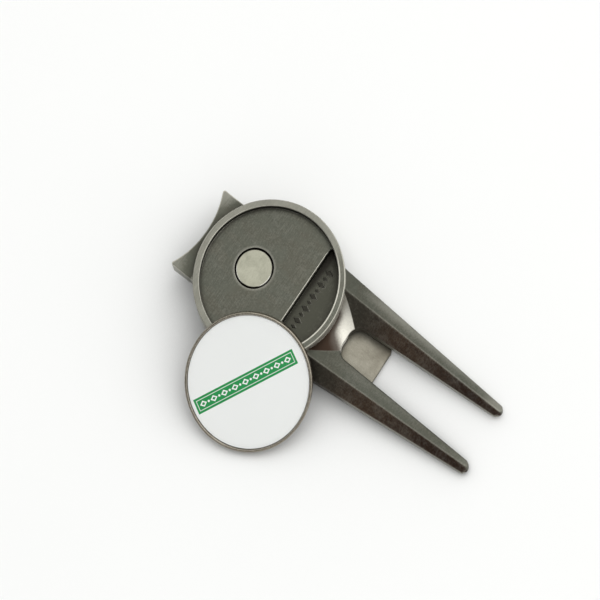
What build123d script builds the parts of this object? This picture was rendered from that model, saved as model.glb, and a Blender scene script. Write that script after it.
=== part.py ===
from build123d import *
import os
from math import sin, cos, tan, radians, degrees, sqrt, atan2

os.makedirs("parts", exist_ok=True)

# Pocket divot repair tool with a belt clip and a loose domed ball marker leaning on it.
# All lengths in millimetres, angles in degrees.
#
# Tool frame:   origin on the marker pocket's axis at the tool's back face,
#               X towards the prong tips, Z along the pocket axis.
# Row frame:    the tool as it lies on a flat table, +Z up, table at z = 0. The tool
#               frame is pitched nose-down by PITCH and lifted by LIFT, so that the
#               clip's tongue and both prong tips touch the table.
# Marker frame: underside at z = 0, axis +Z.
#
# Blocks used only to cut or keep material overshoot it by a free amount.

# resting attitude
PITCH = 4.0
LIFT = 2.63            # height of the tool frame's origin above the table
COS_PITCH, SIN_PITCH = cos(radians(PITCH)), sin(radians(PITCH))

# head, ring and marker pocket
R_POCKET = 13.2        # pocket wall radius
R_RING = 14.5          # outer radius of the raised ring
Z_RING = 4.95          # ring top
Z_FLOOR = 3.66         # upper pocket floor
Z_LOW = 1.70           # lower pocket floor, the thumb relief
X_CHORD = 6.35         # straight step between the two floors
R_RELIEF_CORNER = 0.35
RELIEF_DRAFT = 2.0
RING_BEVEL = 0.14
R_HEAD_BOTTOM_EDGE = 0.45
STEP_BEVEL = 0.13
STEP_BEVEL_HALF_LENGTH = 9.9

# lozenges on the relief floor
N_LOZENGES = 13
LOZENGE_PITCH = 1.28
X_LOZENGES = X_CHORD + 2.05
LOZENGE_LARGE = (0.86, 0.50)     # half sizes in X and Y
LOZENGE_SMALL = (0.52, 0.32)
LOZENGE_T = 0.19
LOZENGE_SINK = 0.05              # depth sunk into the floor

# magnet seat
X_MAGNET = -3.6
R_MAGNET = 3.5
MAGNET_BEVEL = 0.12
R_MAGNET_HOLE = 3.7
Z_MAGNET_HOLE = 1.50   # bottom of the blind hole
MAGNET_HOLE_BEVEL = 0.10
T_GLUE = 0.12
GLUE_INSET = 0.25      # glue edge inside the hole's wall
MAGNET_BELOW_FLOOR = 0.09

# fish tail behind the head
X_TAIL = -17.35        # tail corners
Y_TAIL = 8.42
X_TAIL_MID = -15.35    # middle of the concave end
X_TAIL_FRONT = -6.0    # where the tail block stops, inside the head
Z_TAIL = 4.0
R_TAIL_CORNER = 0.4
Z_DISH = 2.95          # lowest level of the dished tail top
X_DISH = -12.2
R_DISH = 13.5

# prongs (the one at +Y; the other is its mirror image)
RIDGE_A = (13.5, 6.70, 3.98)     # crest line, root end
RIDGE_B = (47.8, 5.60, 2.62)     # crest line, tip end
FACET_IN = (20.0, 3.27, 2.15)    # a point on the inner facet
FACET_OUT = (20.0, 9.26, 2.15)   # a point on the outer facet
OUTER_SIDE = ((10.8, 10.10), (47.0, 6.85))   # two points of each side in plan
INNER_SIDE = ((20.1, 3.30), (47.0, 4.50))
X_PRONG_ROOT, X_PRONG_END = 5.0, 50.0        # ends of the uncut prong
X_INNER_STEP = 21.5    # nearer the head than this, the blank reaches the mid plane
Y_BLANK = -0.6
PRONG_BLANK_T = 4.6
X_TIP, Y_TIP, Z_TIP = 48.9, 5.70, 1.62
TIP_LONG, TIP_R = 2.9, 1.66      # semi-axes of the elliptical nose
R_BULLET_REAR = 7.5              # bullet radius at its rear end, X_TIP behind the tip
PRONG_MID = (15.0, 6.55, 2.0)    # a point on the prong's centre line
X_BELLY = 21.0         # underside is flat up to here, then rises to the tip
X_TOUCH = 48.0         # where the risen underside reaches the table

# U notch between the prongs
X_NOTCH = 17.8
NOTCH_FLAT = 1.0       # half width of its flat bottom
NOTCH_R = 2.3
X_NOTCH_END = 60

# saddle-shaped web between the prong roots
WEB_R = 12.0           # concave across
WEB_R_ALONG = 13.3     # convex along, falling towards the notch
WEB_X_TOP, WEB_Z_TOP = 14.3, 2.05
WEB_X_MID, WEB_LENGTH, WEB_HALF_W, WEB_BLANK_T = 13.0, 15.0, 5.6, 4.2

# belt clip strip
CLIP_T = 0.70
CLIP_W = 8.2
CLIP_X_END = 25.9
CLIP_CORNER_R = 1.35
FOOT_CORNER_R = 1.6
FOOT_X0, FOOT_X1 = -13.6, -4.4   # foot on the back face, tool frame
JOG_X = -2.2                     # where the tongue becomes level, row frame
BEND_R = 1.0                     # bend radius at mid thickness
HINGE_X = -6.2                   # where the strip is split, tool frame
SPLIT = CLIP_T / 2 + 0.03        # foot's end to the hinge axis

# rivets that hold the clip's foot
RIVET_X = -10.6
RIVET_Y = 2.3
R_RIVET = 0.95
R_RIVET_HEAD = 1.55
RIVET_HEAD_T = 0.55
RIVET_RIM_T = 0.12     # straight edge of the head
RIVET_DEPTH = 1.2

# ball marker
R_MARKER = 12.0
MK_BOTTOM_R = 0.30     # roundings of the outer edges
MK_TOP_R = 0.2
MK_RIM_IN = 11.52
MK_RIM_BEVEL = 0.12
MK_FLOOR = 0.95
MK_RIM_TOP = 1.45
MK_R_LABEL = 11.42
MK_R_PSA = MK_R_LABEL - 0.05
T_PSA = 0.05           # label adhesive
T_LABEL = 0.13
DOME_GAP = 0.02        # resin's underside above the label
MK_DOME_EDGE = 1.36
MK_DOME_TOP = 1.86

# leaning attitude of the marker in the row frame
LEAN = 27.2
LEAN_DIR = -64.7       # from +X, outward from the pocket axis
GAP_RING = 0.03        # marker underside above the ring's corner
GAP_TABLE = 0.02

UPRIGHT = (Align.CENTER, Align.CENTER, Align.MIN)
# inset of a quarter arc's middle from its square corner, in X and in Y, per radius
ARC_INSET = 1 - cos(radians(45))


# ---------------------------------------------------------------------------
# helpers
# ---------------------------------------------------------------------------
def to_row(shape):
    """Tool frame to row frame."""
    return Location((0, 0, LIFT)) * Rotation(0, PITCH, 0) * shape


def row_point(x, z):
    """A tool-frame (x, z) as row-frame (x, z)."""
    return (x * COS_PITCH + z * SIN_PITCH, -x * SIN_PITCH + z * COS_PITCH + LIFT)


def disc(radius, height, x=0, y=0, z=0):
    """An upright cylinder standing on (x, y, z)."""
    return Pos(x, y, z) * Cylinder(radius, height, align=UPRIGHT)


def hole_bevel(radius, bevel, top, x=0):
    """Cone that bevels the mouth of a round hole whose rim is at z = top."""
    cone = Cone(radius, radius + 2 * bevel, 2 * bevel, align=UPRIGHT)
    return Pos(x, 0, top - bevel) * cone


def polygon_face(*points):
    return make_face(Polyline(*points, close=True))


def lines(*points):
    """Straight edges joining the points in turn."""
    return [Line(start, end) for start, end in zip(points, points[1:])]


def cap_radius(half_width, height):
    """Sphere radius of a cap."""
    return (half_width**2 + height**2) / (2 * height)


# ---------------------------------------------------------------------------
# fork_body: one casting - head, ring, tail, web and two prongs
# ---------------------------------------------------------------------------
def side_y(side, x):
    """Y at x on the straight line through a side's two points."""
    (x0, y0), (x1, y1) = side
    return y0 + (y1 - y0) * (x - x0) / (x1 - x0)


def block_above(origin, second, third):
    """A large block whose lower face is the plane through three points."""
    along = Vector(*second) - Vector(*origin)
    normal = along.cross(Vector(*third) - Vector(*origin)).normalized()
    if normal.Z < 0:
        normal = normal * -1
    plane = Plane(origin=origin, x_dir=along.normalized(), z_dir=normal)
    return plane * Box(160, 160, 40, align=UPRIGHT)


def make_bullet():
    """Solid of revolution along the prong's centre line that shapes the nose."""
    x_shoulder = X_TIP - TIP_LONG
    profile = lines((0, 0), (0, R_BULLET_REAR), (x_shoulder, TIP_R))
    profile.append(
        EllipticalCenterArc((x_shoulder, 0), TIP_LONG, TIP_R, start_angle=0, arc_size=90)
    )
    profile.append(Line((X_TIP, 0), (0, 0)))
    bullet = revolve(make_face(profile), Axis.X, 360)
    x_mid, y_mid, z_mid = PRONG_MID
    yaw = degrees(atan2(Y_TIP - y_mid, X_TIP - x_mid))
    rise = degrees(atan2(Z_TIP - z_mid, X_TIP - x_mid))
    return (
        Location((X_TIP, Y_TIP, Z_TIP))
        * Rotation(0, 0, yaw)
        * Rotation(0, -rise, 0)
        * Location((-X_TIP, 0, 0))
        * bullet
    )


def make_prong():
    plan = polygon_face(
        (X_PRONG_ROOT, Y_BLANK),
        (X_INNER_STEP, Y_BLANK),
        (X_INNER_STEP, side_y(INNER_SIDE, X_INNER_STEP)),
        (X_PRONG_END, side_y(INNER_SIDE, X_PRONG_END)),
        (X_PRONG_END, side_y(OUTER_SIDE, X_PRONG_END)),
        (X_PRONG_ROOT, side_y(OUTER_SIDE, X_PRONG_ROOT)),
    )
    prong = extrude(plan, PRONG_BLANK_T)
    # the two facets meet at the crest
    prong -= block_above(RIDGE_A, RIDGE_B, FACET_IN)
    prong -= block_above(RIDGE_A, RIDGE_B, FACET_OUT)
    # underside rises until it meets the table
    z_touch = (X_TOUCH * SIN_PITCH - LIFT) / COS_PITCH
    belly = polygon_face(
        (X_BELLY, -1), (X_BELLY, 0), (X_TOUCH, z_touch), (55, z_touch + 0.5), (55, -1)
    )
    prong -= extrude(Plane.XZ * belly, 30, both=True)
    return prong & make_bullet()


def make_web():
    web = Pos(WEB_X_MID, 0, 0) * Box(WEB_LENGTH, 2 * WEB_HALF_W, WEB_BLANK_T, align=UPRIGHT)
    saddle = (
        Location((WEB_X_TOP, 0, WEB_Z_TOP - WEB_R_ALONG))
        * Rotation(90, 0, 0)
        * Torus(WEB_R_ALONG + WEB_R, WEB_R)
    )
    cap = Pos(WEB_X_MID, 0, WEB_Z_TOP + WEB_R) * Box(60, 40, 30, align=UPRIGHT)
    web = web - saddle - cap
    return web.solids().sort_by(Axis.Z)[0]


def make_head():
    head = disc(R_RING, Z_RING)
    top_edge = head.edges().filter_by(GeomType.CIRCLE).sort_by(Axis.Z)[-1]
    head = chamfer(top_edge, RING_BEVEL)
    bottom_edge = head.edges().filter_by(GeomType.CIRCLE).sort_by(Axis.Z)[0]
    return fillet(bottom_edge, R_HEAD_BOTTOM_EDGE)


def make_tail():
    """Flared block with a concave end and a dished top."""
    plan = make_face(
        [
            Line((0, -Y_TAIL), (0, Y_TAIL)),
            Line((0, Y_TAIL), (X_TAIL, Y_TAIL)),
            ThreePointArc((X_TAIL, Y_TAIL), (X_TAIL_MID, 0), (X_TAIL, -Y_TAIL)),
            Line((X_TAIL, -Y_TAIL), (0, -Y_TAIL)),
        ]
    )
    plan = fillet(plan.vertices().sort_by(Axis.X)[0:2], R_TAIL_CORNER)
    dish = (
        Location((X_DISH, 0, Z_DISH + R_DISH)) * Rotation(90, 0, 0) * Cylinder(R_DISH, 60)
    )
    keep = Pos(X_TAIL_FRONT, 0, 0) * Box(
        36, 60, 30, align=(Align.MAX, Align.CENTER, Align.CENTER)
    )
    return (extrude(plan, Z_TAIL) - dish) & keep


def notch_side(sign):
    """Points of one side of the notch: arc start, middle and end, then the open end."""
    x_end, y_end = X_NOTCH + NOTCH_R, NOTCH_FLAT + NOTCH_R
    return [
        (X_NOTCH, sign * NOTCH_FLAT),
        (X_NOTCH + NOTCH_R * ARC_INSET, sign * (y_end - NOTCH_R * ARC_INSET)),
        (x_end, sign * y_end),
        (X_NOTCH_END, sign * side_y(INNER_SIDE, X_NOTCH_END)),
    ]


def make_notch():
    upper, lower = notch_side(1), notch_side(-1)
    plan = make_face(
        [
            Line(lower[0], upper[0]),
            ThreePointArc(*upper[:3]),
            *lines(upper[2], upper[3], lower[3], lower[2]),
            ThreePointArc(lower[2], lower[1], lower[0]),
        ]
    )
    return extrude(plan, 12, both=True)


def make_relief():
    """The deeper part of the pocket beyond the chord, with drafted walls."""
    plan = Circle(R_POCKET) & Pos(X_CHORD, 0) * Rectangle(
        40, 60, align=(Align.MIN, Align.CENTER)
    )
    plan = fillet(plan.vertices(), R_RELIEF_CORNER)
    relief = extrude(
        Pos(0, 0, Z_FLOOR) * plan, Z_FLOOR - Z_LOW, dir=(0, 0, -1), taper=RELIEF_DRAFT
    )
    # overlap into the pocket above
    return relief + extrude(Pos(0, 0, Z_FLOOR) * plan, 0.3)


def make_step_bevel():
    """Diamond bar that bevels the upper edge of the step between the floors."""
    section = polygon_face(
        (X_CHORD - STEP_BEVEL, Z_FLOOR),
        (X_CHORD, Z_FLOOR - STEP_BEVEL),
        (X_CHORD + STEP_BEVEL, Z_FLOOR),
        (X_CHORD, Z_FLOOR + STEP_BEVEL),
    )
    return extrude(Plane.XZ * section, STEP_BEVEL_HALF_LENGTH, both=True)


def make_lozenge(i):
    """Raised lozenge i of the row on the relief floor; sizes alternate."""
    half_x, half_y = LOZENGE_LARGE if i % 2 == 0 else LOZENGE_SMALL
    plan = polygon_face((half_x, 0), (0, half_y), (-half_x, 0), (0, -half_y))
    y = (i - (N_LOZENGES - 1) / 2) * LOZENGE_PITCH
    return Pos(X_LOZENGES, y, Z_LOW - LOZENGE_SINK) * extrude(plan, LOZENGE_T)


def make_fork_body():
    prong = make_prong()
    body = make_head() + make_tail() + make_web() + prong + mirror(prong, Plane.XZ)
    body -= make_notch()

    # marker pocket
    pocket = disc(R_POCKET, 10, z=Z_FLOOR)
    mouth = hole_bevel(R_POCKET, RING_BEVEL, Z_RING)
    body = body - pocket - mouth - make_relief() - make_step_bevel()
    for i in range(N_LOZENGES):
        body += make_lozenge(i)

    # blind holes for the magnet and, in the back face, the rivets
    body -= disc(R_MAGNET_HOLE, 5, x=X_MAGNET, z=Z_MAGNET_HOLE)
    body -= hole_bevel(R_MAGNET_HOLE, MAGNET_HOLE_BEVEL, Z_FLOOR, x=X_MAGNET)
    for sign in (-1, 1):
        body -= disc(R_RIVET, 1 + RIVET_DEPTH, x=RIVET_X, y=sign * RIVET_Y, z=-1)
    return body.solids().sort_by(SortBy.VOLUME)[-1]


# ---------------------------------------------------------------------------
# magnet and its glue
# ---------------------------------------------------------------------------
def make_magnet():
    z_bottom = Z_MAGNET_HOLE + T_GLUE
    z_top = Z_FLOOR - MAGNET_BELOW_FLOOR
    magnet = disc(R_MAGNET, z_top - z_bottom, x=X_MAGNET, z=z_bottom)
    return chamfer(magnet.edges().filter_by(GeomType.CIRCLE), MAGNET_BEVEL)


def make_magnet_glue():
    return disc(R_MAGNET_HOLE - GLUE_INSET, T_GLUE, x=X_MAGNET, z=Z_MAGNET_HOLE)


# ---------------------------------------------------------------------------
# belt clip, drawn in the row frame's XZ plane
# ---------------------------------------------------------------------------
def offset_path(points, distance):
    """Mitred offset of an open polyline, to its left for positive distance."""
    segments = []
    for (x0, z0), (x1, z1) in zip(points[:-1], points[1:]):
        length = sqrt((x1 - x0) ** 2 + (z1 - z0) ** 2)
        dx = -(z1 - z0) / length * distance
        dz = (x1 - x0) / length * distance
        segments.append(((x0 + dx, z0 + dz), (x1 + dx, z1 + dz)))
    result = [segments[0][0]]
    for (start, end), (next_start, next_end) in zip(segments[:-1], segments[1:]):
        ux, uz = end[0] - start[0], end[1] - start[1]
        vx, vz = next_end[0] - next_start[0], next_end[1] - next_start[1]
        gap_x, gap_z = next_start[0] - start[0], next_start[1] - start[1]
        share = (gap_x * vz - gap_z * vx) / (ux * vz - uz * vx)
        result.append((start[0] + share * ux, start[1] + share * uz))
    result.append(segments[-1][1])
    return result


def fillet_chain(points, radii):
    """Lines joined by tangent arcs; radii[i] is used at points[i + 1]."""
    edges = []
    start = points[0]
    for before, corner, after, radius in zip(points, points[1:], points[2:], radii):
        corner = Vector(*corner)
        back = (Vector(*before) - corner).normalized()
        ahead = (Vector(*after) - corner).normalized()
        half_angle = radians(back.get_angle(ahead)) / 2
        setback = radius / tan(half_angle)
        arc_start = corner + back * setback
        arc_end = corner + ahead * setback
        arc_mid = corner + (back + ahead).normalized() * (radius / sin(half_angle) - radius)
        edges.append(Line(start, arc_start))
        edges.append(ThreePointArc(arc_start, arc_mid, arc_end))
        start = arc_end
    edges.append(Line(start, points[-1]))
    return edges


def make_strip():
    """The whole bent strip: foot, sloping jog and level tongue."""
    half_t = CLIP_T / 2
    foot_back = row_point(FOOT_X0, -half_t)
    foot_front = row_point(FOOT_X1, -half_t)
    path = [foot_back, foot_front, (JOG_X, half_t), (CLIP_X_END, half_t)]
    upper = offset_path(path, half_t)
    lower = offset_path(path, -half_t)
    # the first bend turns down, upper side outside; the second turns back level
    outside, inside = BEND_R + half_t, BEND_R - half_t
    profile = make_face(
        fillet_chain(upper, [outside, inside])
        + [Line(upper[-1], lower[-1])]
        + fillet_chain(lower, [inside, outside])
        + [Line(lower[0], upper[0])]
    )
    strip = extrude(Plane.XZ * profile, CLIP_W / 2, both=True)
    strip = fillet(strip.edges().filter_by(Axis.Z).sort_by(Axis.X)[-2:], CLIP_CORNER_R)
    foot_corners = [
        edge
        for edge in strip.edges()
        if abs(edge.length - CLIP_T) < 0.01 and edge.center().X < foot_back[0] + 0.6
    ]
    return fillet(foot_corners, FOOT_CORNER_R)


HINGE = row_point(HINGE_X, -CLIP_T / 2)      # hinge axis, row-frame (x, z)


def block_before(distance):
    """Everything behind the plane that crosses the foot at HINGE_X + distance."""
    x = HINGE[0] + COS_PITCH * distance
    z = HINGE[1] - SIN_PITCH * distance
    return (
        Location((x, 0, z))
        * Rotation(0, PITCH, 0)
        * Box(60, 40, 40, align=(Align.MAX, Align.CENTER, Align.CENTER))
    )


def make_clip_foot(strip):
    foot = strip & block_before(-SPLIT)
    for sign in (-1, 1):
        foot -= to_row(Pos(RIVET_X, sign * RIVET_Y, -CLIP_T / 2) * Cylinder(R_RIVET, 3))
    return foot.solids()[0]


def make_belt_clip(strip):
    """The strip ahead of the hinge axis, with a rounded rear end."""
    knuckle = (
        Location((HINGE[0], 0, HINGE[1])) * Rotation(90, 0, 0) * Cylinder(CLIP_T / 2, CLIP_W)
    )
    clip = (strip - block_before(0.0)) + knuckle
    return clip.solids()[0]


def make_rivet(y):
    shank = disc(R_RIVET, CLIP_T + RIVET_DEPTH, x=RIVET_X, y=y, z=-CLIP_T)
    z_rim = -CLIP_T - RIVET_RIM_T
    rim = disc(R_RIVET_HEAD, RIVET_RIM_T, x=RIVET_X, y=y, z=z_rim)
    dome_r = cap_radius(R_RIVET_HEAD, RIVET_HEAD_T - RIVET_RIM_T)
    dome = Pos(RIVET_X, y, -CLIP_T - RIVET_HEAD_T + dome_r) * Sphere(dome_r)
    dome &= Pos(RIVET_X, y, z_rim) * Cylinder(
        R_RIVET_HEAD, 2, align=(Align.CENTER, Align.CENTER, Align.MAX)
    )
    return (shank + rim + dome).solids()[0]


# ---------------------------------------------------------------------------
# ball marker: rimmed disc, glued label, clear resin dome
# ---------------------------------------------------------------------------
Z_LABEL = MK_FLOOR + T_PSA
Z_DOME = Z_LABEL + T_LABEL + DOME_GAP


def spin(edges):
    """Solid of revolution about Z from a closed (radius, z) profile."""
    return revolve(Plane.XZ * make_face(edges), Axis.Z, 360)


def make_marker_disc():
    bottom_start = (R_MARKER - MK_BOTTOM_R, 0)
    bottom_end = (R_MARKER, MK_BOTTOM_R)
    bottom_inset = MK_BOTTOM_R * ARC_INSET
    top_start = (R_MARKER, MK_RIM_TOP - MK_TOP_R)
    top_end = (R_MARKER - MK_TOP_R, MK_RIM_TOP)
    top_inset = MK_TOP_R * ARC_INSET
    return spin(
        [
            Line((0, 0), bottom_start),
            ThreePointArc(bottom_start, (R_MARKER - bottom_inset, bottom_inset), bottom_end),
            Line(bottom_end, top_start),
            ThreePointArc(
                top_start, (R_MARKER - top_inset, MK_RIM_TOP - top_inset), top_end
            ),
            *lines(
                top_end,
                (MK_RIM_IN + MK_RIM_BEVEL, MK_RIM_TOP),
                (MK_RIM_IN, MK_RIM_TOP - MK_RIM_BEVEL),
                (MK_RIM_IN, MK_FLOOR),
                (0, MK_FLOOR),
                (0, 0),
            ),
        ]
    )


def make_marker_dome():
    """Shallow spherical cap over a short straight edge."""
    cap_r = cap_radius(MK_R_LABEL, MK_DOME_TOP - MK_DOME_EDGE)
    mid_r = MK_R_LABEL * 0.5
    mid_z = MK_DOME_TOP - cap_r + sqrt(cap_r**2 - mid_r**2)
    return spin(
        [
            *lines((0, Z_DOME), (MK_R_LABEL, Z_DOME), (MK_R_LABEL, MK_DOME_EDGE)),
            ThreePointArc((MK_R_LABEL, MK_DOME_EDGE), (mid_r, mid_z), (0, MK_DOME_TOP)),
            Line((0, MK_DOME_TOP), (0, Z_DOME)),
        ]
    )


def make_lean_location():
    """Row-frame place of the marker, propped on the ring's outer top corner."""
    lean = radians(LEAN)
    outward = Vector(cos(radians(LEAN_DIR)), sin(radians(LEAN_DIR)), 0)
    up = Vector(0, 0, 1)
    normal = outward * sin(lean) + up * cos(lean)
    downhill = outward * cos(lean) - up * sin(lean)
    corner_x, corner_z = row_point(R_RING * outward.X, Z_RING)
    corner = Vector(corner_x, R_RING * outward.Y, corner_z)
    # underside plane passes GAP_RING above the corner, along its normal
    base = normal * (corner.dot(normal) + GAP_RING)
    # slide downhill until the rim's rounded lower edge is GAP_TABLE above the table
    edge_z = base.Z + MK_BOTTOM_R * normal.Z + (R_MARKER - MK_BOTTOM_R) * downhill.Z
    centre = base + downhill * ((GAP_TABLE + MK_BOTTOM_R - edge_z) / downhill.Z)
    return Plane(origin=centre, x_dir=downhill * -1, z_dir=normal).location


# ---------------------------------------------------------------------------
# all pieces in the row frame, one file each
# ---------------------------------------------------------------------------
clip_strip = make_strip()
leaning = make_lean_location()
nodes = {
    "fork_body": to_row(make_fork_body()),
    "magnet": to_row(make_magnet()),
    "magnet_adhesive": to_row(make_magnet_glue()),
    "clip_foot": make_clip_foot(clip_strip),
    "belt_clip": make_belt_clip(clip_strip),
    "clip_rivets": Compound(
        children=[to_row(make_rivet(sign * RIVET_Y)) for sign in (-1, 1)]
    ),
    "marker_disc": leaning * make_marker_disc(),
    "label_adhesive": leaning * disc(MK_R_PSA, T_PSA, z=MK_FLOOR),
    "marker_label": leaning * disc(MK_R_LABEL, T_LABEL, z=Z_LABEL),
    "marker_dome": leaning * make_marker_dome(),
}
for name, shape in nodes.items():
    export_step(shape, f"parts/{name}.step")
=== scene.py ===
import math

import bmesh
import bpy
from mathutils import Matrix, Vector


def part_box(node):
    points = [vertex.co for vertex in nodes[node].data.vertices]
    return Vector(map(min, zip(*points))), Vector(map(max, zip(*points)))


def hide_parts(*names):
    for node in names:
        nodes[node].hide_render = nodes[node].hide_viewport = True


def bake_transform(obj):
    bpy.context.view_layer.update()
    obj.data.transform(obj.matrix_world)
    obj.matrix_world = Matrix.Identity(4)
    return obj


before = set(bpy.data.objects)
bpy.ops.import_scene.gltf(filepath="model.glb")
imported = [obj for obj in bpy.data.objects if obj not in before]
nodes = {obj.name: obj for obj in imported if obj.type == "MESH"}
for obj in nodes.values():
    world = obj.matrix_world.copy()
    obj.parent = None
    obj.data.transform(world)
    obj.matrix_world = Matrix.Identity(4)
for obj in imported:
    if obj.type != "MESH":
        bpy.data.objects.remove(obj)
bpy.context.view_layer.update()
scene = bpy.context.scene

MM = 0.001
PITCH = math.radians(4.0)
LIFT = 2.63


# ---------------------------------------------------------------------------
# small node-graph helper
# ---------------------------------------------------------------------------
class Graph:
    def __init__(self, name, tree=None):
        if tree is None:
            self.mat = bpy.data.materials.new(name)
            self.mat.use_nodes = True
            self.t = self.mat.node_tree
        else:
            self.mat = None
            self.t = tree
        self.t.nodes.clear()

    def node(self, kind, **props):
        n = self.t.nodes.new(kind)
        for k, v in props.items():
            setattr(n, k, v)
        return n

    def put(self, socket, value):
        if value is None:
            return
        if isinstance(value, bpy.types.NodeSocket):
            self.t.links.new(value, socket)
        else:
            socket.default_value = value

    def math(self, op, a, b=None, c=None, clamp=False):
        n = self.node("ShaderNodeMath", operation=op, use_clamp=clamp)
        self.put(n.inputs[0], a)
        self.put(n.inputs[1], b)
        self.put(n.inputs[2], c)
        return n.outputs[0]

    def add(self, a, b):
        return self.math("ADD", a, b)

    def mul(self, a, b):
        return self.math("MULTIPLY", a, b)

    def sub(self, a, b):
        return self.math("SUBTRACT", a, b)

    def inv(self, a):
        return self.math("SUBTRACT", 1.0, a)

    def clamp(self, a):
        return self.math("ADD", a, 0.0, clamp=True)

    def smooth(self, x, lo, hi, a=0.0, b=1.0):
        n = self.node("ShaderNodeMapRange", interpolation_type="SMOOTHSTEP")
        self.put(n.inputs["Value"], x)
        n.inputs["From Min"].default_value = lo
        n.inputs["From Max"].default_value = hi
        self.put(n.inputs["To Min"], a)
        self.put(n.inputs["To Max"], b)
        return n.outputs[0]

    def linear(self, x, lo, hi, a=0.0, b=1.0):
        n = self.node("ShaderNodeMapRange", interpolation_type="LINEAR", clamp=True)
        self.put(n.inputs["Value"], x)
        n.inputs["From Min"].default_value = lo
        n.inputs["From Max"].default_value = hi
        self.put(n.inputs["To Min"], a)
        self.put(n.inputs["To Max"], b)
        return n.outputs[0]

    def mixc(self, fac, a, b, blend="MIX"):
        n = self.node("ShaderNodeMix", data_type="RGBA", blend_type=blend)
        self.put(n.inputs[0], fac)
        self.put(n.inputs[6], a)
        self.put(n.inputs[7], b)
        return n.outputs[2]

    def mixf(self, fac, a, b):
        n = self.node("ShaderNodeMix", data_type="FLOAT")
        self.put(n.inputs[0], fac)
        self.put(n.inputs[2], a)
        self.put(n.inputs[3], b)
        return n.outputs[0]

    def split(self, v):
        n = self.node("ShaderNodeSeparateXYZ")
        self.put(n.inputs[0], v)
        return n.outputs[0], n.outputs[1], n.outputs[2]

    def join(self, x, y, z):
        n = self.node("ShaderNodeCombineXYZ")
        self.put(n.inputs[0], x)
        self.put(n.inputs[1], y)
        self.put(n.inputs[2], z)
        return n.outputs[0]

    def coords(self, loc=(0, 0, 0), rot=(0, 0, 0)):
        """Object coordinates in millimetres, in a frame at loc (mm) turned by rot."""
        tc = self.node("ShaderNodeTexCoord")
        m = self.node("ShaderNodeMapping", vector_type="TEXTURE")
        self.put(m.inputs[0], tc.outputs["Object"])
        m.inputs["Location"].default_value = [k * MM for k in loc]
        m.inputs["Rotation"].default_value = rot
        m.inputs["Scale"].default_value = (MM, MM, MM)
        return m.outputs[0]

    def scaled(self, v, s, rot=(0, 0, 0)):
        m = self.node("ShaderNodeMapping", vector_type="POINT")
        self.put(m.inputs[0], v)
        m.inputs["Rotation"].default_value = rot
        m.inputs["Scale"].default_value = s
        return m.outputs[0]

    def noise(self, v, scale, detail=3.0, rough=0.55, distort=0.0):
        n = self.node("ShaderNodeTexNoise", noise_dimensions="3D")
        self.put(n.inputs["Vector"], v)
        n.inputs["Scale"].default_value = scale
        n.inputs["Detail"].default_value = detail
        n.inputs["Roughness"].default_value = rough
        n.inputs["Distortion"].default_value = distort
        return n.outputs[0]

    def bump(self, height, strength, distance=0.001, normal=None):
        n = self.node("ShaderNodeBump")
        self.put(n.inputs["Height"], height)
        self.put(n.inputs["Strength"], strength)
        n.inputs["Distance"].default_value = distance
        self.put(n.inputs["Normal"], normal)
        return n.outputs[0]

    def bevel(self, radius_mm, samples=6):
        """Rounded normal; the radius may be a number or a socket, in millimetres."""
        n = self.node("ShaderNodeBevel", samples=samples)
        if isinstance(radius_mm, bpy.types.NodeSocket):
            self.put(n.inputs["Radius"], self.mul(radius_mm, MM))
        else:
            n.inputs["Radius"].default_value = radius_mm * MM
        return n.outputs[0]

    def edge(self, bevel_normal, lo=0.01, hi=0.16):
        """How far the rounded normal leans from the face's own: 1 on an edge."""
        g = self.node("ShaderNodeNewGeometry")
        d = self.node("ShaderNodeVectorMath", operation="DOT_PRODUCT")
        self.put(d.inputs[0], bevel_normal)
        self.put(d.inputs[1], g.outputs["Normal"])
        return self.smooth(self.inv(d.outputs["Value"]), lo, hi)

    def ao(self, distance_mm, samples=6, inside=False):
        n = self.node("ShaderNodeAmbientOcclusion", samples=samples, inside=inside)
        n.inputs["Distance"].default_value = distance_mm * MM
        return n.outputs["AO"]

    def principled(self, **values):
        b = self.node("ShaderNodeBsdfPrincipled")
        for k, v in values.items():
            self.put(b.inputs[k.replace("_", " ")], v)
        return b.outputs[0]

    def output(self, surface):
        o = self.node("ShaderNodeOutputMaterial")
        self.put(o.inputs["Surface"], surface)
        return self.mat


def grey(v, warm=0.0):
    return (v * (1 + warm), v, v * (1 - 1.6 * warm), 1.0)


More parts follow.
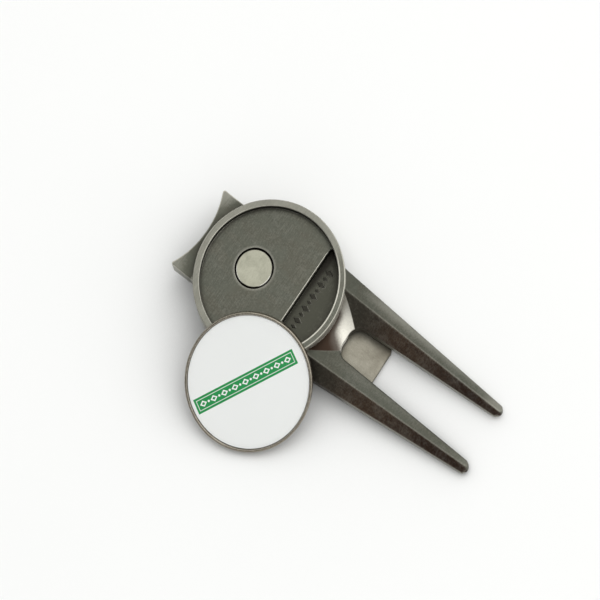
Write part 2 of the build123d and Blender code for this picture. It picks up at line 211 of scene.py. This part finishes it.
# ---------------------------------------------------------------------------
# materials
# ---------------------------------------------------------------------------
def gunmetal():
    """Antique nickel over a zinc casting: darkened in the hollows partly by its finish and partly by painted shade,
    bare on wear, with painted highlights and painted shade set by which way a surface faces.
    """
    g = Graph("gunmetal_casting")
    p = g.coords((0, 0, LIFT), (0, PITCH, 0))
    x, y, z = g.split(p)
    r = g.math("SQRT", g.add(g.mul(x, x), g.mul(y, y)))
    geo = g.node("ShaderNodeNewGeometry")
    # the face's own direction in the tool's frame, as height
    tilt = g.node("ShaderNodeVectorTransform", vector_type="NORMAL", convert_from="WORLD", convert_to="OBJECT")
    g.put(tilt.inputs[0], geo.outputs["Normal"])
    nx, ny, nz = g.split(tilt.outputs[0])

    fine = g.noise(p, 9.0, 2.0, 0.6)
    grain = g.noise(p, 3.2, 4.0, 0.65, 0.4)
    cloud = g.noise(p, 0.33, 4.0, 0.6, 0.6)
    blotch = g.noise(g.scaled(p, (0.8, 1.2, 1.0)), 1.1, 5.0, 0.7, 1.2)
    # brushing: long fine streaks across the tool
    brush_a = g.noise(g.scaled(p, (7.0, 0.35, 3.0), (0, 0, 0.30)), 1.0, 3.0, 0.7)
    brush_b = g.noise(g.scaled(p, (0.28, 6.5, 3.0), (0, 0, -0.12)), 1.0, 3.0, 0.7)

    in_pocket = g.mul(g.smooth(r, 13.42, 13.30), g.mul(g.smooth(z, 4.90, 4.80), g.smooth(z, 1.0, 1.2)))
    relief = g.mul(in_pocket, g.smooth(z, 2.6, 2.3))
    wall = g.mul(in_pocket, g.mul(g.smooth(r, 12.9, 13.05), g.smooth(nz, 0.5, 0.3)))
    ring = g.mul(g.mul(g.smooth(z, 4.55, 4.75), g.smooth(nz, 0.6, 0.8)), g.inv(in_pocket))
    near_side = g.smooth(x, 6.5, 11.0, 0.0, 1.0)
    # painted highlight, with some edge wear: bright lines on the ring's inner and outer edges, on its +X side only
    rim_in = g.mul(g.smooth(g.math("ABSOLUTE", g.sub(r, 13.38)), 0.17, 0.11), near_side)
    rim_out = g.mul(g.smooth(g.math("ABSOLUTE", g.sub(r, 14.43)), 0.13, 0.07), g.mul(near_side, 0.75))
    rim_edge_highlight = g.mul(g.smooth(z, 4.70, 4.80), g.math("MAXIMUM", rim_in, rim_out))
    # the saddle-shaped web, bounded in plan by the curve where it meets the prongs
    ay = g.math("ABSOLUTE", y)
    wx = g.sub(x, 13.1)
    reach = g.sub(g.sub(6.15, g.mul(wx, 0.62)), g.mul(g.mul(wx, wx), 0.026))
    inner_web = g.mul(g.smooth(g.sub(reach, ay), -0.10, 0.10), g.smooth(r, 14.48, 14.54))
    inner_web = g.mul(inner_web, g.mul(g.mul(g.smooth(x, 12.0, 12.4), g.smooth(x, 20.4, 20.2)), g.smooth(nz, 0.4, 0.6)))
    prong = g.mul(g.mul(g.smooth(x, 5.0, 6.0), g.smooth(r, 14.50, 14.60)), g.inv(inner_web))
    notch_wall = g.mul(g.mul(g.smooth(nx, 0.25, 0.6), g.smooth(g.math("ABSOLUTE", nz), 0.5, 0.3)), g.mul(g.smooth(x, 17.2, 17.6), g.smooth(x, 21.0, 20.3)))
    outer_wall = g.mul(g.mul(g.smooth(g.math("ABSOLUTE", g.sub(r, 14.5)), 0.08, 0.05), g.smooth(z, 0.4, 0.6)), g.smooth(g.math("ABSOLUTE", nz), 0.3, 0.2))
    tail = g.smooth(x, -12.0, -13.0)
    # painted highlight, with some edge wear: a bright line along the edge of the step
    chord = g.mul(
        g.mul(g.smooth(g.math("ABSOLUTE", g.sub(x, 6.35)), 0.20, 0.13), g.smooth(z, 3.42, 3.50)),
        g.mul(in_pocket, g.smooth(g.math("ABSOLUTE", y), 10.6, 9.4)),
    )
    mx = g.add(x, 3.6)
    r_mag = g.math("SQRT", g.add(g.mul(mx, mx), g.mul(y, y)))
    halo = g.mul(g.mul(g.smooth(r_mag, 4.35, 3.85), g.smooth(r_mag, 3.72, 3.80)), g.mul(in_pocket, g.smooth(z, 3.3, 3.5)))
    marks = g.mul(relief, g.smooth(z, 1.72, 1.76))

    # bare nickel and patina, mottled
    bare = g.mixc(g.linear(grain, 0.3, 0.7), (0.50, 0.485, 0.42, 1), (0.64, 0.625, 0.55, 1))
    dark = g.mixc(g.linear(cloud, 0.35, 0.65), (0.070, 0.073, 0.057, 1), (0.095, 0.098, 0.078, 1))
    brown = g.mixc(g.linear(blotch, 0.25, 0.8), (0.030, 0.0155, 0.0095, 1), (0.088, 0.060, 0.039, 1))

    mott = g.linear(g.add(g.mul(grain, 0.5), g.mul(brush_a, 0.5)), 0.35, 0.65)
    # how much patina is left; painted highlights and painted shade are also written into it below
    # painted light: the ring top is painted darker towards its +X end
    tarnish_and_light = g.mixf(ring, 0.55, g.smooth(x, 6.0, 12.5, 0.75, 0.93))
    tarnish_and_light = g.mixf(in_pocket, tarnish_and_light, 0.98)
    tarnish_and_light = g.mixf(relief, tarnish_and_light, 1.02)
    on_tail = g.mul(tail, g.smooth(r, 14.5, 14.6))
    # painted light: the tail is paler towards its tips, more on +Y, and its side faces are paler
    corner = g.mul(g.smooth(r, 15.2, 18.4), g.smooth(y, -7.0, 6.0, 0.26, 0.34))
    tarnish_and_light = g.mixf(on_tail, tarnish_and_light, g.sub(1.06, corner))
    tarnish_and_light = g.sub(tarnish_and_light, g.mul(g.mul(on_tail, g.smooth(nz, 0.5, 0.2)), 0.16))
    tarnish_and_light = g.mixf(prong, tarnish_and_light, g.smooth(x, 14.0, 24.0, 1.02, 0.97))
    # painted highlight: each prong is paler towards its far outer edge, more so on the +Y prong
    crest = g.sub(g.math("ABSOLUTE", y), g.sub(7.13, g.mul(x, 0.032)))
    far_out_highlight = g.mul(g.smooth(g.mul(crest, g.math("SIGN", y)), 0.3, 2.3), g.smooth(x, 46.0, 38.0, 0.3, 1.0))
    far_out_highlight = g.mul(far_out_highlight, g.smooth(x, 13.0, 22.0, 0.0, 1.0))
    tarnish_and_light = g.sub(tarnish_and_light, g.mul(g.mul(prong, far_out_highlight), g.smooth(y, -4.0, 4.0, 0.07, 0.24)))
    tarnish_and_light = g.mixf(outer_wall, tarnish_and_light, 0.60)
    tarnish_and_light = g.add(tarnish_and_light, g.mul(g.sub(mott, 0.5), 0.16))
    tarnish_and_light = g.add(tarnish_and_light, g.mul(g.sub(cloud, 0.5), 0.25))
    tarnish_and_light = g.sub(tarnish_and_light, g.mul(halo, 0.16))
    # painted highlight on the web's far side and painted shade beside the ring
    web_s = g.add(g.add(g.sub(x, 15.35), g.mul(y, 0.9)), g.mul(g.math("SQRT", g.add(g.mul(y, y), 0.8)), -0.55))
    web_s = g.sub(web_s, g.mul(g.smooth(x, 15.9, 14.4, 0.0, 1.3), g.smooth(y, 4.2, 2.2)))
    web_s = g.add(web_s, g.mul(g.sub(grain, 0.5), 0.8))
    web_light_and_shade = g.sub(g.smooth(web_s, -4.2, -0.8, 1.0, 0.92), g.smooth(web_s, -1.5, 1.7, 0.0, 0.86))
    tarnish_and_light = g.mixf(inner_web, tarnish_and_light, web_light_and_shade)

    bevel = g.bevel(g.mixf(prong, g.mixf(tail, 0.20, 0.38), 0.60), 8)
    lean = g.node("ShaderNodeVectorTransform", vector_type="NORMAL", convert_from="WORLD", convert_to="OBJECT")
    g.put(lean.inputs[0], bevel)
    _, by, _ = g.split(lean.outputs[0])
    # painted reflection: prong flanks turned to -Y towards the points are painted paler, standing for the floor they
    # reflect
    flank_reflection = g.mul(g.mul(prong, g.smooth(nz, 0.42, 0.20)), g.mul(g.smooth(ny, -0.4, -0.7), g.smooth(x, 21.0, 26.0)))
    # painted shade, with brown patina: prong facets turned to -Y take the dark brown tones below
    facet_south = g.mul(g.mul(prong, g.smooth(by, 0.02, -0.34)), g.inv(flank_reflection))
    edge = g.mul(g.edge(bevel, 0.01, 0.10), g.mixf(prong, 1.0, 0.16))
    open_ = g.ao(0.9)
    wide = g.ao(3.2)
    convex = g.mul(edge, g.smooth(open_, 0.45, 0.80))
    crevice = g.mul(g.smooth(open_, 0.72, 0.25), g.inv(g.mul(inner_web, 0.75)))
    shade = g.mul(g.smooth(wide, 0.80, 0.35), in_pocket)
    tarnish_and_light = g.add(tarnish_and_light, g.mul(crevice, 0.45))
    tarnish_and_light = g.sub(tarnish_and_light, g.mul(convex, 0.85))
    tarnish_and_light = g.sub(tarnish_and_light, g.mul(rim_edge_highlight, 0.75))
    tarnish_and_light = g.sub(tarnish_and_light, g.mul(chord, 0.9))
    # painted highlight: the notch's end wall is painted pale
    notch_lit = g.mul(notch_wall, g.smooth(y, 1.0, 0.0))
    tarnish_and_light = g.sub(tarnish_and_light, g.mul(notch_lit, 1.4))
    tarnish_and_light = g.sub(tarnish_and_light, g.mul(flank_reflection, 0.34))
    # the points are paler on their top facets: partly rubbed wear, partly painted highlight, stronger on the +Y prong
    rubbed_and_sheen = g.mul(g.mul(prong, g.smooth(x, 42.5, 48.2)), g.smooth(by, -0.08, 0.2))
    tarnish_and_light = g.sub(tarnish_and_light, g.mul(rubbed_and_sheen, g.smooth(y, -4.0, 4.0, 0.10, 0.26)))
    tarnish_and_light = g.clamp(tarnish_and_light)

    root = g.mixc(g.linear(blotch, 0.2, 0.8), (0.030, 0.027, 0.020, 1), (0.074, 0.066, 0.051, 1))
    tip = g.mixc(g.linear(blotch, 0.35, 0.85), (0.019, 0.0085, 0.0055, 1), (0.054, 0.033, 0.021, 1))
    brown = g.mixc(g.smooth(x, 17.0, 27.0), root, g.mixc(g.smooth(x, 28.0, 42.0), brown, tip))
    tint = g.linear(g.noise(g.scaled(p, (0.16, 0.26, 0.2), (0, 0, 0.5)), 1.0, 4.0, 0.65, 0.8), 0.42, 0.66)
    dark = g.mixc(g.mul(tint, 0.35), dark, (0.085, 0.076, 0.056, 1))
    # the -Y facets get the brown tones: brown patina and painted shade
    patina_and_shade_tone = g.mixc(facet_south, dark, brown)
    patina_and_shade_tone = g.mixc(relief, patina_and_shade_tone, (0.058, 0.058, 0.044, 1))
    patina_and_shade_tone = g.mixc(inner_web, patina_and_shade_tone, (0.035, 0.021, 0.013, 1))
    colour = g.mixc(tarnish_and_light, bare, patina_and_shade_tone)
    # painted highlight: the bare part of the web is lifted towards white
    colour = g.mixc(g.mul(inner_web, g.mul(g.inv(tarnish_and_light), 0.22)), colour, (0.90, 0.88, 0.82, 1))
    # near black: dark patina in tight creases, with painted shade from wide occlusion in the pocket and on the pocket's
    # inner side
    dark_hollow_and_shade = g.math("MAXIMUM", g.mul(crevice, 0.6), g.mul(shade, 0.75))
    dark_hollow_and_shade = g.mul(g.math("MAXIMUM", dark_hollow_and_shade, g.mul(wall, 0.88)), g.inv(chord))
    # painted shadow at the foot of the step, darkest at its far end
    foot = g.smooth(g.sub(g.sub(x, 6.35), g.smooth(y, -2.0, 10.5, 0.0, 0.9)), 1.1, 0.0)
    dark_hollow_and_shade = g.math("MAXIMUM", dark_hollow_and_shade, g.mul(g.mul(relief, foot), g.smooth(y, -6.0, 9.0, 0.30, 0.90)))
    dark_hollow_and_shade = g.math("MAXIMUM", dark_hollow_and_shade, g.mul(marks, 0.72))
    # painted shade: the tail darkens towards the ring
    dark_hollow_and_shade = g.math("MAXIMUM", dark_hollow_and_shade, g.mul(on_tail, g.smooth(r, 16.4, 14.6, 0.0, 0.46)))
    # painted shade in the gap round the magnet
    dark_hollow_and_shade = g.math("MAXIMUM", dark_hollow_and_shade, g.mul(g.smooth(r_mag, 3.84, 3.74), g.mul(in_pocket, 0.93)))
    dark_hollow_and_shade = g.mul(dark_hollow_and_shade, g.inv(g.math("MAXIMUM", notch_lit, rim_edge_highlight)))
    colour = g.mixc(dark_hollow_and_shade, colour, (0.014, 0.012, 0.009, 1))
    # painted light: walls turned to the light get painted matt tones, pale on the notch's end wall
    matt = g.math("MAXIMUM", notch_lit, g.mul(outer_wall, g.smooth(x, 9.0, 11.5, 0.0, 0.75)))
    matt = g.math("MAXIMUM", matt, g.mul(flank_reflection, 0.25))
    colour = g.mixc(g.mul(matt, 0.85), colour, g.mixc(notch_lit, (0.36, 0.34, 0.29, 1), (0.88, 0.86, 0.81, 1)))

    rough = g.mixf(tarnish_and_light, 0.36, 0.46)
    rough = g.add(rough, g.mul(g.sub(grain, 0.5), 0.18))
    height = g.add(g.mul(fine, 0.35), g.mul(g.add(g.mul(brush_a, 0.5), g.mul(brush_b, 0.35)), g.mixf(in_pocket, 1.0, 0.55)))
    normal = g.bump(height, 0.13, 0.00006, bevel)
    b = g.principled(
        Base_Color=colour, Metallic=g.mul(g.mixf(tarnish_and_light, 1.0, 0.85), g.inv(g.mul(matt, 0.85))), Roughness=rough, Normal=normal
    )
    return g.output(b)


def plated(name, lo, hi, rough=0.34, brush=(0.5, 7.0, 3.0), rot=0.0, bump=0.14, bevel_mm=0.10, bare=(0.86, 0.84, 0.79, 1), cloud_scale=0.45, far_end_shade=False, rim_at=None):
    """Satin plated steel with fine streaks, soft clouding and bright worn edges."""
    g = Graph(name)
    p = g.coords()
    streak = g.noise(g.scaled(p, brush, (0, 0, rot)), 1.0, 3.0, 0.7)
    grain = g.noise(p, 4.5, 4.0, 0.65, 0.3)
    cloud = g.noise(p, cloud_scale, 4.0, 0.6, 0.8)
    fac = g.clamp(
        g.add(
            g.mul(g.linear(cloud, 0.3, 0.7), 0.45),
            g.add(g.mul(g.linear(grain, 0.3, 0.7), 0.35), g.mul(g.linear(streak, 0.3, 0.7), 0.20)),
        )
    )
    colour = g.mixc(fac, lo, hi)
    bevel = g.bevel(bevel_mm)
    edge = g.edge(bevel, 0.01, 0.12)
    open_ = g.ao(0.6)
    colour = g.mixc(g.mul(g.mul(edge, g.smooth(open_, 0.4, 0.8)), 0.7), colour, bare)
    colour = g.mixc(g.mul(g.smooth(open_, 0.7, 0.2), 0.6), colour, (0.05, 0.045, 0.035, 1))
    if rim_at:
        qx, qy, _ = g.split(g.coords(rim_at[:3], (0, PITCH, 0)))
        qr = g.math("SQRT", g.add(g.mul(qx, qx), g.mul(qy, qy)))
        on_rim = g.smooth(qr, rim_at[3] - 0.20, rim_at[3] - 0.13)
        lit = g.smooth(g.math("DIVIDE", g.add(g.mul(qx, 0.97), g.mul(qy, -0.22)), qr), 0.82, 0.97)
        lit = g.math("MAXIMUM", lit, g.smooth(g.math("DIVIDE", g.add(g.mul(qx, -0.60), g.mul(qy, -0.80)), qr), 0.80, 0.96))
        # painted shade on the magnet's rim, then a painted highlight on its two lit sides
        colour = g.mixc(g.mul(on_rim, 0.85), colour, (0.10, 0.095, 0.075, 1))
        colour = g.mixc(g.mul(on_rim, lit), colour, (0.80, 0.79, 0.72, 1))
    # painted shade on the far end of the strip, darker on +Y where it runs under the body
    if far_end_shade:
        px, py, _ = g.split(p)
        end_shade = g.mul(g.smooth(px, 20.5, 25.5), g.smooth(py, -1.5, 3.2))
        colour = g.mixc(g.mul(end_shade, g.linear(grain, 0.2, 0.8, 0.35, 0.75)), colour, (0.075, 0.064, 0.046, 1))
    r = g.add(rough, g.mul(g.sub(grain, 0.5), 0.22))
    normal = g.bump(g.add(g.mul(streak, 0.7), g.mul(grain, 0.4)), bump, 0.00005, bevel)
    return g.output(g.principled(Base_Color=colour, Metallic=1.0, Roughness=r, Normal=normal))


def glue():
    g = Graph("glue")
    p = g.coords()
    n = g.noise(p, 1.6, 4.0, 0.6, 0.5)
    colour = g.mixc(n, (0.16, 0.13, 0.08, 1), (0.42, 0.37, 0.26, 1))
    normal = g.bump(n, 0.5, 0.0002)
    return g.output(g.principled(Base_Color=colour, Roughness=0.45, Normal=normal))


def film():
    g = Graph("psa_film")
    p = g.coords()
    n = g.noise(p, 0.8, 3.0, 0.6)
    colour = g.mixc(n, (0.78, 0.77, 0.72, 1), (0.88, 0.88, 0.85, 1))
    return g.output(g.principled(Base_Color=colour, Roughness=g.linear(n, 0.2, 0.8, 0.15, 0.35)))


# the marker's own frame, from the CAD: centre of its underside
LEAN = math.radians(27.2)
LEAN_DIR = math.radians(-64.7)
MK_C = (7.727, -16.347, 5.401)
ld = Vector((math.cos(LEAN_DIR), math.sin(LEAN_DIR), 0))
MK_Z = Vector((ld.x * math.sin(LEAN), ld.y * math.sin(LEAN), math.cos(LEAN)))
MK_X = -Vector((ld.x * math.cos(LEAN), ld.y * math.cos(LEAN), -math.sin(LEAN)))
MK_Y = MK_Z.cross(MK_X)
MK_ROT = Matrix((MK_X, MK_Y, MK_Z)).transposed().to_euler("XYZ")


def label():
    """White print stock with one green band, a pale frame line and a plain motif."""
    g = Graph("printed_label")
    p = g.coords(MK_C, tuple(MK_ROT))
    x, y, z = g.split(p)
    x = g.add(x, 0.10)
    y = g.sub(y, 0.50)
    # band axes in the marker's plane
    ax, ay = 0.5546, -0.8321
    long = g.add(g.mul(x, ax), g.mul(y, ay))
    across = g.add(g.mul(x, -ay), g.mul(y, ax))
    al, aa = g.math("ABSOLUTE", long), g.math("ABSOLUTE", across)

    def inside(v, limit, soft=0.03):
        return g.smooth(v, limit + soft, limit - soft)

    band = g.mul(inside(al, 10.35), inside(aa, 1.36))
    outer = g.mul(inside(al, 9.94), inside(aa, 0.95))
    inner = g.mul(inside(al, 9.84), inside(aa, 0.85))
    frame_line = g.sub(outer, inner)
    # lozenges and dots in turn along the band
    step = 2.2
    m = g.sub(g.math("FLOORED_MODULO", g.add(long, step * 10.5), step), step / 2)
    am = g.math("ABSOLUTE", m)
    loz = g.add(g.math("DIVIDE", am, 0.72), g.math("DIVIDE", aa, 0.56))
    loz = g.sub(inside(loz, 1.0, 0.05), inside(loz, 0.50, 0.05))
    m2 = g.sub(g.math("FLOORED_MODULO", g.add(long, step * 10), step), step / 2)
    d2 = g.math("SQRT", g.add(g.mul(m2, m2), g.mul(across, across)))
    dots = inside(d2, 0.21)
    motif = g.mul(g.math("MAXIMUM", loz, dots), inside(al, 9.57))
    ink = g.clamp(g.sub(band, g.math("MAXIMUM", frame_line, motif)))
    fibre = g.noise(p, 2.5, 4.0, 0.6)
    white = g.mixc(fibre, (0.865, 0.870, 0.868, 1), (0.885, 0.890, 0.886, 1))
    green = g.mixc(fibre, (0.0005, 0.255, 0.052, 1), (0.001, 0.290, 0.066, 1))
    colour = g.mixc(ink, white, green)
    return g.output(g.principled(Base_Color=colour, Roughness=0.5))


def dome():
    """Clear resin: a glossy skin that lets the print show through."""
    g = Graph("clear_resin")
    p = g.coords(MK_C, tuple(MK_ROT))
    wave = g.noise(p, 0.10, 2.0, 0.5)
    normal = g.bump(wave, 0.10, 0.0002)
    tint = g.mixc(wave, (0.990, 0.993, 0.990, 1), (0.996, 0.998, 0.996, 1))
    clear = g.node("ShaderNodeBsdfTransparent")
    g.put(clear.inputs[0], tint)
    gloss = g.node("ShaderNodeBsdfGlossy")
    gloss.inputs["Roughness"].default_value = 0.14
    g.put(gloss.inputs["Normal"], normal)
    fres = g.node("ShaderNodeFresnel")
    fres.inputs["IOR"].default_value = 1.5
    g.put(fres.inputs["Normal"], normal)
    lp = g.node("ShaderNodeLightPath")
    geo = g.node("ShaderNodeNewGeometry")
    front = g.inv(geo.outputs["Backfacing"])
    fac = g.mul(g.mul(g.mul(fres.outputs[0], 0.55), front), g.inv(lp.outputs["Is Shadow Ray"]))
    mix = g.node("ShaderNodeMixShader")
    g.put(mix.inputs[0], fac)
    g.put(mix.inputs[1], clear.outputs[0])
    g.put(mix.inputs[2], gloss.outputs[0])
    return g.output(mix.outputs[0])


def paper_floor():
    g = Graph("studio_floor")
    p = g.coords()
    n = g.noise(p, 0.02, 2.0, 0.5)
    colour = g.mixc(n, (0.900, 0.905, 0.900, 1), (0.918, 0.922, 0.916, 1))
    fx, fy, _ = g.split(p)
    # painted shadow: the floor darkens near the object, on its -Y side only
    floor_painted_shadow = g.mixf(g.smooth(fy, 9.0, -5.0), 1.0, g.smooth(g.ao(36.0, 8), 0.42, 1.0, 0.68, 1.0))
    colour = g.mixc(floor_painted_shadow, (0.0, 0.0, 0.0, 1), colour)
    return g.output(g.principled(Base_Color=colour, Roughness=0.9))


mag_low, mag_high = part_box("magnet")
MAGNET_AT = ((mag_low.x + mag_high.x) / 2 / MM, 0.0, (mag_low.z + mag_high.z) / 2 / MM, 3.5)
mat_casting = gunmetal()
mat_magnet = plated("magnet_nickel", (0.225, 0.225, 0.175, 1), (0.385, 0.380, 0.305, 1), rough=0.40, brush=(3.0, 0.5, 3.0), rot=0.5, bevel_mm=0.14, rim_at=MAGNET_AT)
mat_spring = plated("spring_steel", (0.162, 0.147, 0.113, 1), (0.375, 0.358, 0.298, 1), rough=0.44, brush=(0.9, 5.0, 2.0), rot=0.0, bump=0.22, cloud_scale=0.30, far_end_shade=True)
mat_rivet = plated("rivet_steel", (0.34, 0.33, 0.28, 1), (0.50, 0.49, 0.43, 1), rough=0.32)
mat_marker = plated("marker_steel", (0.21, 0.180, 0.138, 1), (0.40, 0.37, 0.31, 1), rough=0.26, bump=0.06, bevel_mm=0.08)
mat_glue = glue()
mat_film = film()
mat_label = label()
mat_dome = dome()

FINISH = {
    "fork_body": (mat_casting, "gunmetal_casting"),
    "magnet": (mat_magnet, "magnet_nickel"),
    "magnet_adhesive": (mat_glue, "glue"),
    "clip_rivets": (mat_rivet, "rivet_steel"),
    "marker_disc": (mat_marker, "marker_steel"),
    "label_adhesive": (mat_film, "psa_film"),
    "marker_label": (mat_label, "printed_label"),
    "marker_dome": (mat_dome, "clear_resin"),
    "clip_foot": (mat_spring, "spring_steel"),
    "belt_clip": (mat_spring, "spring_steel"),
}
for name, (mat, slot) in FINISH.items():
    o = nodes[name]
    o.data.materials.clear()
    o.data.materials.append(mat)


# ---------------------------------------------------------------------------
# the belt clip as one bent spring strip
# ---------------------------------------------------------------------------
def tool_point(x, z):
    c, s = math.cos(PITCH), math.sin(PITCH)
    return Vector((x * c + z * s, -x * s + z * c + LIFT))


def spring_strip():
    foot_low, foot_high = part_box("clip_foot")
    tongue_low, tongue_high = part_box("belt_clip")
    t = 0.70
    width = (tongue_high.y - tongue_low.y) / MM
    x_end = tongue_high.x / MM
    pts = [
        tool_point(-13.6, -t / 2),
        tool_point(-4.4, -t / 2),
        Vector((-2.2, t / 2)),
        Vector((x_end, t / 2)),
    ]
    # centre line: straight runs joined by arcs of radius 1.0
    line = []

    def run(a, b, step):
        n = max(2, int((b - a).length / step))
        for i in range(n):
            line.append(a.lerp(b, i / n))

    start = pts[0]
    for i in (1, 2):
        p, q, r = pts[i - 1], pts[i], pts[i + 1]
        a, b = (p - q).normalized(), (r - q).normalized()
        half = math.acos(max(-1, min(1, a.dot(b)))) / 2
        d = 1.0 / math.tan(half)
        s, e = q + a * d, q + b * d
        run(start, s, 0.6)
        centre = q + (a + b).normalized() * (1.0 / math.sin(half))
        a0 = math.atan2(s.y - centre.y, s.x - centre.x)
        a1 = math.atan2(e.y - centre.y, e.x - centre.x)
        da = (a1 - a0 + math.pi) % (2 * math.pi) - math.pi
        for k in range(8):
            ang = a0 + da * k / 8
            line.append(centre + Vector((math.cos(ang), math.sin(ang))))
        start = e
    run(start, pts[3], 0.6)
    line.append(pts[3])
    # resample, finer near both ends so that the corner arcs are round
    cum = [0.0]
    for a, b in zip(line[:-1], line[1:]):
        cum.append(cum[-1] + (b - a).length)
    total = cum[-1]

    def at(s):
        s = max(0.0, min(total, s))
        for i in range(len(cum) - 1):
            if s <= cum[i + 1] or i == len(cum) - 2:
                f = (s - cum[i]) / max(cum[i + 1] - cum[i], 1e-9)
                return line[i].lerp(line[i + 1], f)

    def ends(radius):
        return [radius * (1 - math.cos(math.radians(k))) for k in range(0, 91, 6)]

    edge_r = 0.13
    stations = [(s, 1.6) for s in ends(1.6)]
    s = 1.9
    while s < total - 1.7:
        stations.append((s, None))
        s += 0.28
    stations += [(total - s2, 1.35) for s2 in reversed(ends(1.35))]
    bm = bmesh.new()
    rings = []
    n_arc = 3
    for s, _ in stations:
        p = at(s)
        h = 0.02
        d = (at(s + h) - at(s - h)).normalized()
        up = Vector((-d.y, d.x))
        d0, d1 = s, total - s
        half_w = width / 2
        for dist, rad in ((d0, 1.6), (d1, 1.35)):
            if dist < rad:
                half_w = min(half_w, width / 2 - rad + math.sqrt(max(rad**2 - (rad - dist) ** 2, 0)))
        e = min(d0, d1)
        half_t = t / 2 if e >= edge_r else t / 2 - edge_r + math.sqrt(max(edge_r**2 - (edge_r - e) ** 2, 0))
        loop = []
        for (sy, sz, a_start) in ((1, 1, 0), (-1, 1, 90), (-1, -1, 180), (1, -1, 270)):
            for k in range(n_arc + 1):
                a = math.radians(a_start + 90 * k / n_arc)
                r_here = min(edge_r, half_t)
                yy = sy * (half_w - r_here) + r_here * math.cos(a)
                zz = sz * (half_t - r_here) + r_here * math.sin(a)
                loop.append(bm.verts.new((( p.x + up.x * zz) * MM, yy * MM, (p.y + up.y * zz) * MM)))
        rings.append(loop)
    # the broad faces are divided across, so that the surface shades evenly
    for a, b in zip(rings[:-1], rings[1:]):
        n = len(a)
        for i in range(n):
            j = (i + 1) % n
            bm.faces.new((a[i], a[j], b[j], b[i]))
    bm.faces.new(list(reversed(rings[0])))
    bm.faces.new(rings[-1])
    bmesh.ops.recalc_face_normals(bm, faces=bm.faces)
    me = bpy.data.meshes.new("belt_clip_strip")
    bm.to_mesh(me)
    bm.free()
    for poly in me.polygons:
        poly.use_smooth = True
    me.set_sharp_from_angle(angle=math.radians(35))
    o = bpy.data.objects.new("belt_clip_strip", me)
    scene.collection.objects.link(o)
    me.materials.append(mat_spring)
    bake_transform(o)
    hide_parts("clip_foot", "belt_clip")
    return o


strip = spring_strip()


# ---------------------------------------------------------------------------
# studio: floor, lights, world
# ---------------------------------------------------------------------------
def add_floor():
    bm = bmesh.new()
    bmesh.ops.create_grid(bm, x_segments=8, y_segments=8, size=3.0)
    me = bpy.data.meshes.new("floor")
    bm.to_mesh(me)
    bm.free()
    o = bpy.data.objects.new("floor", me)
    scene.collection.objects.link(o)
    me.materials.append(paper_floor())
    return o


add_floor()

TARGET = Vector((0.014, -0.004, 0.003))


def softbox(name, azimuth, elevation, distance, size, power, colour=(1, 1, 1)):
    light = bpy.data.lights.new(name, "AREA")
    light.shape = "RECTANGLE"
    light.size, light.size_y = size
    light.energy = power
    light.color = colour
    o = bpy.data.objects.new(name, light)
    a, e = math.radians(azimuth), math.radians(elevation)
    out = Vector((math.cos(a) * math.cos(e), math.sin(a) * math.cos(e), math.sin(e)))
    o.location = TARGET + out * distance
    o.rotation_mode = "QUATERNION"
    o.rotation_quaternion = out.to_track_quat("Z", "Y")
    scene.collection.objects.link(o)
    return o


softbox("key", 62, 52, 0.95, (1.15, 0.95), 2.3)
softbox("overhead", 120, 84, 0.9, (0.90, 0.90), 1.6)

world = bpy.data.worlds.new("studio")
scene.world = world
world.use_nodes = True
g = Graph("studio", world.node_tree)
tc = g.node("ShaderNodeTexCoord")
wx, wy, wz = g.split(tc.outputs["Generated"])
# an even tent, with a darker side low towards -Y
side = g.add(g.mul(wy, 0.75), g.mul(wx, 0.35))
level = g.smooth(side, -0.9, 0.7, 0.86, 0.93)
gap = g.add(g.add(g.mul(wx, -0.25), g.mul(wy, -0.65)), g.mul(wz, 0.73))
level = g.mul(level, g.smooth(gap, 0.80, 0.98, 1.0, 0.22))
bg = g.node("ShaderNodeBackground")
g.put(bg.inputs[0], g.mixc(level, (0.99, 1.0, 1.0, 1), (1.0, 1.0, 0.985, 1)))
g.put(bg.inputs[1], level)
seen = g.node("ShaderNodeBackground")
seen.inputs[0].default_value = (0.95, 0.955, 0.95, 1)
seen.inputs[1].default_value = 1.0
lp = g.node("ShaderNodeLightPath")
mixw = g.node("ShaderNodeMixShader")
g.put(mixw.inputs[0], lp.outputs["Is Camera Ray"])
g.put(mixw.inputs[1], bg.outputs[0])
g.put(mixw.inputs[2], seen.outputs[0])
wo = g.node("ShaderNodeOutputWorld")
g.put(wo.inputs[0], mixw.outputs[0])

scene.view_settings.view_transform = "Standard"
scene.view_settings.look = "None"
scene.view_settings.exposure = 0.0
scene.view_settings.gamma = 1.0

# ---------------------------------------------------------------------------
# camera: the photograph is an off-axis crop, so the lens is shifted
# ---------------------------------------------------------------------------
EYE = Vector((0.1127, -0.0743, 0.4124))
cam_data = bpy.data.cameras.new("camera")
cam_data.sensor_width = 36.0
cam_data.sensor_fit = "AUTO"
cam_data.lens = 3.458 * 36.0
cam_data.clip_start, cam_data.clip_end = 0.02, 20.0
cam = bpy.data.objects.new("camera", cam_data)
cam.location = EYE
cam.rotation_euler = (math.radians(39.71), math.radians(4.28), math.radians(34.99))
scene.collection.objects.link(cam)
scene.camera = cam
# the shift belongs to this viewpoint only: it fades out as the camera leaves it
spot = bpy.data.objects.new("viewpoint", None)
spot.location = EYE
spot.empty_display_size = 0.01
scene.collection.objects.link(spot)


def shift_driver(prop, value):
    setattr(cam_data, prop, value)
    fc = cam_data.driver_add(prop)
    for m in list(fc.modifiers):
        fc.modifiers.remove(m)
    fc.driver.type = "SUM"
    var = fc.driver.variables.new()
    var.type = "LOC_DIFF"
    var.targets[0].id = cam
    var.targets[1].id = spot
    while len(fc.keyframe_points):
        fc.keyframe_points.remove(fc.keyframe_points[0])
    for px, py in ((0.0, value), (0.08, 0.0)):
        k = fc.keyframe_points.insert(px, py)
        k.interpolation = "LINEAR"
    fc.extrapolation = "CONSTANT"
    fc.update()


shift_driver("shift_x", -0.116)
shift_driver("shift_y", -1.478)
